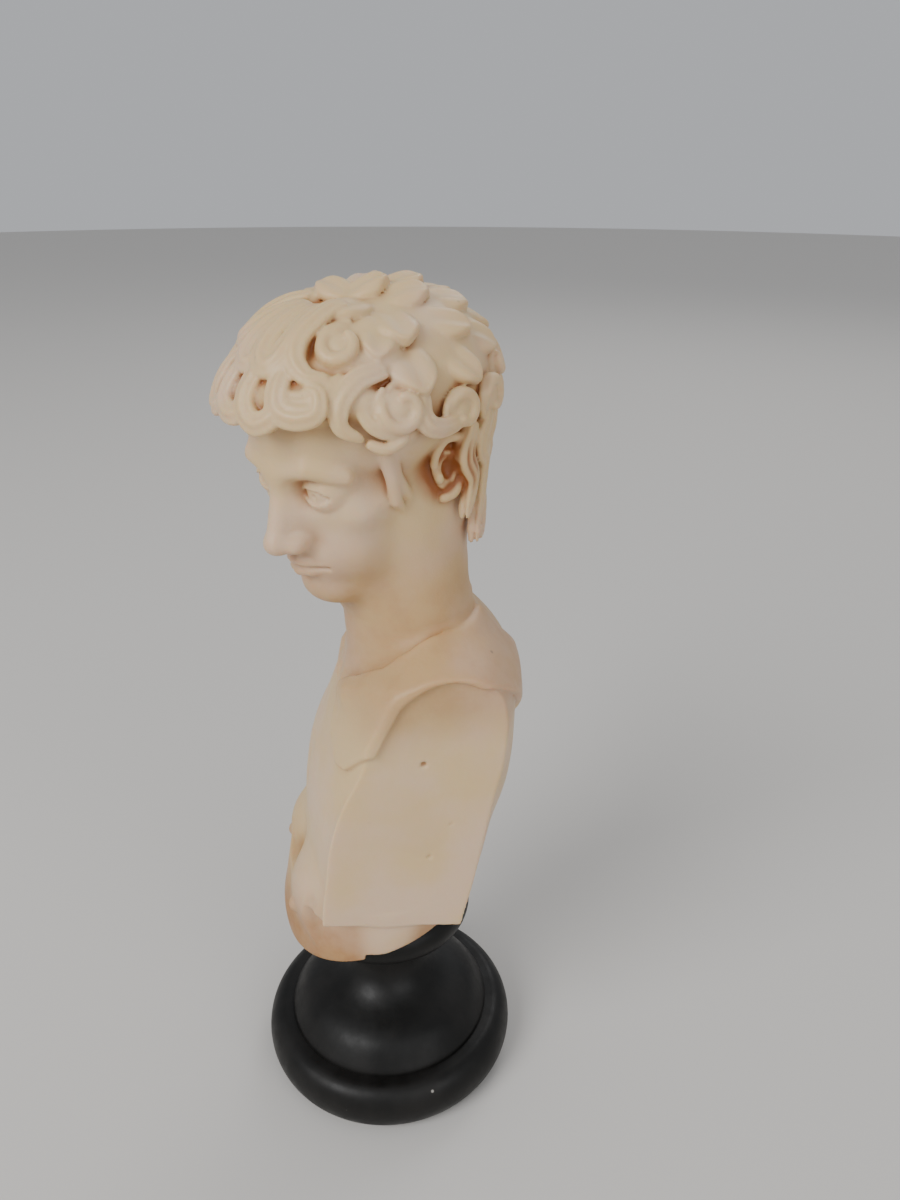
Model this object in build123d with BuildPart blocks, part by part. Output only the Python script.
"""A cast marble-resin portrait bust clamped on a black turned socle.

Frame: the socle's axis is Z, the felt under the socle rests on z = 0, the chest faces -Y and the
figure's left shoulder is on +X. Millimetres.

The bust is one casting with a flat seat under it and a wall, the apron, that hangs down in front of
the socle's cap. A threaded rod runs from a brass insert in the bust, through the cap, the bell and
the plinth, to a nut and washers in a counterbore that the felt hides.
"""

import os

from build123d import *

# ---------------------------------------------------------------- driving sizes: socle
plinth_radius = 32.5
plinth_height = 13.0
torus_reach = 4.5
bell_foot_radius = 27.2
bell_height = 30.0
bell_waist_radius = 8.6
bell_neck_radius = 11.5
bell_groove = 1.2
cap_radius = 21.2
cap_height = 10.0

# ---------------------------------------------------------------- driving sizes: felt and seats
felt_thickness = 1.2
felt_proud = 0.2
felt_radius = 26.5
felt_clearance = 0.25
seat_washer_thickness = 0.6
seat_washer_radius = 14.0
spigot_height = 2.0
plinth_spigot_radius = 14.0
bell_spigot_radius = 7.0
spigot_clearance = 0.15

# ---------------------------------------------------------------- driving sizes: M6 fixing
rod_radius = 3.0
rod_hole_clearance = 0.4
thread_clearance = 0.05
nut_across_flats = 10.0
nut_thickness = 5.0
flat_washer_radius = 9.0
flat_washer_thickness = 1.6
spring_washer_radius = 5.9
spring_washer_thickness = 1.6
spring_washer_gap = 1.2
counterbore_clearance = 1.0
rod_end_gap = 0.6
rod_below_nut = 0.8
edge_chamfer = 0.5
insert_radius = 4.5
insert_length = 14.0
insert_flange_radius = 6.5
insert_flange_thickness = 1.4
rod_engagement = 12.0

# ---------------------------------------------------------------- driving sizes: bust
bust_top = 200.0
arm_cut = 26.0
arm_underside = 61.0
apron_bottom = 44.0
apron_rise = 18.8
apron_back = -7.0
apron_wall = 3.2
cap_clearance = 0.35
neck_radius = 13.2
head_turn = 38.0
head_nod = 15.0
head_scale = 0.95
hair_depth = 3.4
curl_radius = 5.6
strap_thickness = 1.8
strap_inner_edge = 11.0
strap_front_edge = -14.0
strap_tip = 104.0

# ---------------------------------------------------------------- stack heights
felt_top = felt_thickness
plinth_bottom = felt_proud
plinth_top = plinth_height
bell_top = plinth_top + bell_height
cap_top = bell_top + cap_height
bust_seat = cap_top + seat_washer_thickness
rod_hole_radius = rod_radius + rod_hole_clearance
washer_stack = flat_washer_thickness + spring_washer_thickness
counterbore_top = felt_top + rod_end_gap + rod_below_nut + nut_thickness + washer_stack
nut_top = counterbore_top - washer_stack
rod_bottom = nut_top - nut_thickness - rod_below_nut
rod_top = bust_seat + rod_engagement


def turned_ring(name, radius, hole_radius, bottom, thickness):
    """A flat ring about Z."""
    with BuildPart() as ring:
        with BuildSketch(Plane.XY.offset(bottom)):
            Circle(radius)
            Circle(hole_radius, mode=Mode.SUBTRACT)
        extrude(amount=thickness)
    ring.part.label = name
    return ring


def bore(radius, bottom, top):
    """A plain round hole about Z, cut from the part being built."""
    with Locations((0, 0, bottom)):
        Cylinder(radius, top - bottom, align=(Align.CENTER, Align.CENTER, Align.MIN), mode=Mode.SUBTRACT)


# ================================================================ socle
# The plinth is a torus with a flat foot and a flat top that the bell covers.
torus_half_height = (plinth_top - plinth_bottom) / 2
torus_middle = plinth_bottom + torus_half_height
torus_centre_radius = plinth_radius - torus_reach

with BuildPart() as socle_plinth:
    with BuildSketch(Plane.XZ) as plinth_section:
        with BuildLine():
            Line((0, plinth_bottom), (torus_centre_radius, plinth_bottom))
            EllipticalCenterArc(
                (torus_centre_radius, torus_middle), torus_reach, torus_half_height, -90, arc_size=180
            )
            Line((torus_centre_radius, plinth_top), (0, plinth_top))
            Line((0, plinth_top), (0, plinth_bottom))
        make_face()
    revolve(axis=Axis.Z)
    with BuildSketch(Plane.XY.offset(plinth_top)):
        Circle(plinth_spigot_radius)
    extrude(amount=spigot_height)
    bore(felt_radius + felt_clearance, plinth_bottom, felt_top)
    bore(flat_washer_radius + counterbore_clearance, felt_top, counterbore_top)
    bore(rod_hole_radius, counterbore_top, plinth_top + spigot_height)
socle_plinth.part.label = "socle_plinth"

# The bell swells out of the plinth's groove, draws in to a waist and flares again under the cap.
shoulder_height = plinth_top + bell_height * 0.16
waist_height = plinth_top + bell_height * 0.72

with BuildPart() as socle_bell:
    with BuildSketch(Plane.XZ) as bell_section:
        with BuildLine():
            Line((0, plinth_top), (bell_foot_radius - bell_groove, plinth_top))
            Spline(
                (bell_foot_radius - bell_groove, plinth_top),
                (bell_foot_radius - 1.6 * bell_groove, plinth_top + 2.0),
                (bell_foot_radius * 0.80, shoulder_height + 1.6),
                (bell_foot_radius * 0.50, plinth_top + bell_height * 0.36),
                (bell_waist_radius + 0.5, plinth_top + bell_height * 0.56),
                (bell_waist_radius, waist_height),
                (bell_neck_radius, bell_top),
                tangents=[(0.1, 1), (1.2, 1)],
            )
            Line((bell_neck_radius, bell_top), (0, bell_top))
            Line((0, bell_top), (0, plinth_top))
        make_face()
    revolve(axis=Axis.Z)
    with BuildSketch(Plane.XY.offset(bell_top)):
        Circle(bell_spigot_radius)
    extrude(amount=spigot_height)
    bore(plinth_spigot_radius + spigot_clearance, plinth_top, plinth_top + spigot_height)
    bore(rod_hole_radius, plinth_top + spigot_height, bell_top + spigot_height)
socle_bell.part.label = "socle_bell"

# The cap is a thick disc with a full round edge and a flat seat.
with BuildPart() as socle_cap:
    with BuildSketch(Plane.XZ) as cap_section:
        with BuildLine():
            flat = cap_radius - cap_height / 2
            Line((0, bell_top), (flat, bell_top))
            ThreePointArc((flat, bell_top), (cap_radius, bell_top + cap_height / 2), (flat, cap_top))
            Line((flat, cap_top), (0, cap_top))
            Line((0, cap_top), (0, bell_top))
        make_face()
    revolve(axis=Axis.Z)
    bore(bell_spigot_radius + spigot_clearance, bell_top, bell_top + spigot_height)
    bore(rod_hole_radius, bell_top + spigot_height, cap_top)
socle_cap.part.label = "socle_cap"

# ================================================================ felt, washers and fixing
with BuildPart() as felt_pad:
    with BuildSketch(Plane.XY):
        Circle(felt_radius)
    extrude(amount=felt_thickness)
felt_pad.part.label = "felt_pad"

flat_washer = turned_ring(
    "flat_washer", flat_washer_radius, rod_hole_radius, nut_top + spring_washer_thickness, flat_washer_thickness
)
seat_washer = turned_ring(
    "seat_washer", seat_washer_radius, rod_hole_radius, cap_top, seat_washer_thickness
)

# The spring washer is a ring of square wire, split on the +X side.
with BuildPart() as spring_washer:
    with BuildSketch(Plane.XY.offset(nut_top)):
        Circle(spring_washer_radius)
        Circle(rod_hole_radius, mode=Mode.SUBTRACT)
        with Locations((spring_washer_radius, 0)):
            Rectangle(2 * spring_washer_radius, spring_washer_gap, mode=Mode.SUBTRACT)
    extrude(amount=spring_washer_thickness)
spring_washer.part.label = "spring_washer"

with BuildPart() as hex_nut:
    with BuildSketch(Plane.XY.offset(nut_top - nut_thickness)):
        RegularPolygon(nut_across_flats / 2, 6, major_radius=False)
        Circle(rod_radius + thread_clearance, mode=Mode.SUBTRACT)
    extrude(amount=nut_thickness)
    chamfer(hex_nut.faces().sort_by(Axis.Z)[0].outer_wire().edges(), edge_chamfer)
hex_nut.part.label = "hex_nut"

with BuildPart() as clamping_rod:
    with BuildSketch(Plane.XY.offset(rod_bottom)):
        Circle(rod_radius)
    extrude(amount=rod_top - rod_bottom)
    chamfer(clamping_rod.edges().filter_by(GeomType.CIRCLE), edge_chamfer)
clamping_rod.part.label = "clamping_rod"

# The insert is a knurled brass sleeve, moulded into the bust with its flange flush in the seat.
with BuildPart() as threaded_insert:
    with BuildSketch(Plane.XY.offset(bust_seat)):
        Circle(insert_flange_radius)
    extrude(amount=insert_flange_thickness)
    with BuildSketch(Plane.XY.offset(bust_seat)):
        Circle(insert_radius)
    extrude(amount=insert_length)
    bore(rod_radius + thread_clearance, bust_seat, bust_seat + insert_length)
threaded_insert.part.label = "threaded_insert"

# ================================================================ bust
# Trunk sections before the arms are cut: height, half width, front and back.
trunk_sections = [
    (arm_underside - 1.0, 36.0, -24.4, 19.5),
    (70.0, 41.0, -23.6, 22.0),
    (80.0, 44.0, -21.0, 24.2),
    (90.0, 45.0, -18.0, 26.4),
    (104.0, 44.0, -14.0, 29.6),
    (114.0, 39.0, -10.4, 30.0),
    (121.0, 31.0, -6.8, 28.6),
    (127.0, 20.0, -3.0, 26.0),
    (133.0, 12.0, 0.0, 22.0),
]
# Below the arms the casting draws in around the cap, with a wall in front whose edge rises backwards.
apron_inside = cap_radius + cap_clearance
apron_outside = apron_inside + apron_wall
root_sections = [
    (apron_bottom, apron_outside - 0.6, 0.6 - apron_outside, 17.0),
    (bust_seat, apron_outside + 0.3, -apron_outside - 0.7, 20.0),
    (arm_underside, apron_outside + 2.0, -apron_outside - 1.6, 21.5),
]
neck_foot = (3.0, 8.5, 112.0)
head_place = (2.5, -4.0)

# Head and hair sections in the head's own frame, before head_scale, in the same order as the trunk's.
skull_sections = [
    (-31.5, 4.5, -21.0, -11.0),
    (-28.0, 8.5, -23.2, -6.0),
    (-19.0, 13.6, -23.8, 6.0),
    (-8.0, 16.2, -22.6, 17.0),
    (2.0, 18.0, -22.8, 23.0),
    (12.0, 18.6, -21.5, 25.0),
    (21.0, 15.0, -15.5, 19.5),
    (26.0, 7.5, -7.0, 10.0),
]
hair_sections = [
    (-15.0, 14.0, 6.0, 26.5),
    (-6.0, 17.6, -1.0, 28.5),
    (4.0, 20.0, -12.5, 30.5),
    (14.0, 20.4, -20.5, 29.5),
    (23.0, 16.5, -16.0, 23.5),
    (28.5, 7.5, -6.0, 12.0),
]
nose_outline = [(-20.0, 1.0), (-22.8, 0.5), (-29.0, -12.5), (-24.0, -15.0), (-20.0, -15.0)]
nose_width = 5.6
ear_centre = (17.0, 3.0, -5.5)
ear_radius = 6.4
ear_thickness = 4.6
# Curls round the hairline: angle from the face, reach from the head's axis, height.
hairline_curls = [
    (0, 22.5, 18.0),
    (24, 22.5, 17.5),
    (48, 21.5, 14.0),
    (70, 20.0, 7.0),
    (112, 20.0, -2.0),
    (136, 24.0, -8.0),
    (160, 26.5, -11.0),
    (180, 27.5, -12.0),
]


def lofted_ovals(sections, growth=0.0):
    """A solid of its own through a stack of oval sections, grown outwards by a wall."""
    ovals = []
    for height, half_width, front, back in sections:
        with BuildSketch(Plane.XY.offset(height + growth)) as section:
            with Locations((0, (front + back) / 2)):
                Ellipse(half_width + growth, (back - front) / 2 + growth)
        ovals.append(section.sketch)
    with BuildPart() as stack:
        loft(ovals)
    return stack.part


# The sling strap is a skin on the trunk, from the front of the left shoulder over to the back.
with BuildPart() as sling_strap:
    add(lofted_ovals(trunk_sections, strap_thickness))
    with Locations((strap_inner_edge, strap_front_edge, strap_tip)):
        Box(
            arm_cut - strap_inner_edge,
            60,
            60,
            align=(Align.MIN, Align.MIN, Align.MIN),
            mode=Mode.INTERSECT,
        )

# The root is the lower part of the casting: the apron in front of the cap and the boss on the seat.
with BuildPart() as root:
    add(lofted_ovals(root_sections))
    with Locations((0, apron_back, bust_seat)):
        Box(120, 120, 120, align=(Align.CENTER, Align.MIN, Align.MAX), mode=Mode.SUBTRACT)
    with Locations(Location((0, -apron_outside, apron_bottom), (apron_rise, 0, 0))):
        Box(120, 120, 120, align=(Align.CENTER, Align.CENTER, Align.MAX), mode=Mode.SUBTRACT)
    bore(apron_inside, apron_bottom, bust_seat)

# The head turns to its left and nods, with a mass of hair and a ring of curls round the hairline.
with BuildPart() as head:
    add(lofted_ovals(skull_sections))
    add(lofted_ovals(hair_sections, hair_depth))
    with BuildSketch(Plane.YZ):
        Polygon(*nose_outline, align=None)
    extrude(amount=nose_width / 2, both=True)
    for side in (-1, 1):
        with Locations(Location((side * ear_centre[0], ear_centre[1], ear_centre[2]), (0, 90, 0))):
            Cylinder(ear_radius, ear_thickness)
        for angle, reach, height in hairline_curls:
            place = Vector(0, -reach, height).rotate(Axis.Z, side * angle)
            with Locations(place):
                Sphere(curl_radius)
    scale(by=head_scale)
turned_head = Rot(0, 0, head_turn) * Rot(head_nod, 0, 0) * head.part
crown_height = turned_head.bounding_box().max.Z
skull_middle = Vector(*head_place, bust_top - crown_height)
placed_head = Pos(skull_middle) * turned_head

# The neck leans forward from between the shoulders to the middle of the skull.
neck_axis = skull_middle - Vector(neck_foot)
with BuildPart() as neck:
    with BuildSketch(Plane(origin=neck_foot, z_dir=neck_axis)):
        Circle(neck_radius)
    extrude(amount=neck_axis.length)

with BuildPart() as bust_casting:
    add(lofted_ovals(trunk_sections))
    with Locations((0, 0, arm_underside)):
        Box(
            2 * arm_cut,
            120,
            120,
            align=(Align.CENTER, Align.CENTER, Align.MIN),
            mode=Mode.INTERSECT,
        )
    add(root.part)
    add(sling_strap.part)
    add(neck.part)
    add(placed_head)
    bore(insert_flange_radius, bust_seat, bust_seat + insert_flange_thickness)
    bore(insert_radius, bust_seat, bust_seat + insert_length)
bust_casting.part.label = "bust_casting"

os.makedirs("parts", exist_ok=True)
for piece in (
    felt_pad,
    socle_plinth,
    socle_bell,
    socle_cap,
    seat_washer,
    flat_washer,
    spring_washer,
    hex_nut,
    clamping_rod,
    threaded_insert,
    bust_casting,
):
    export_step(piece.part, f"parts/{piece.part.label}.step")
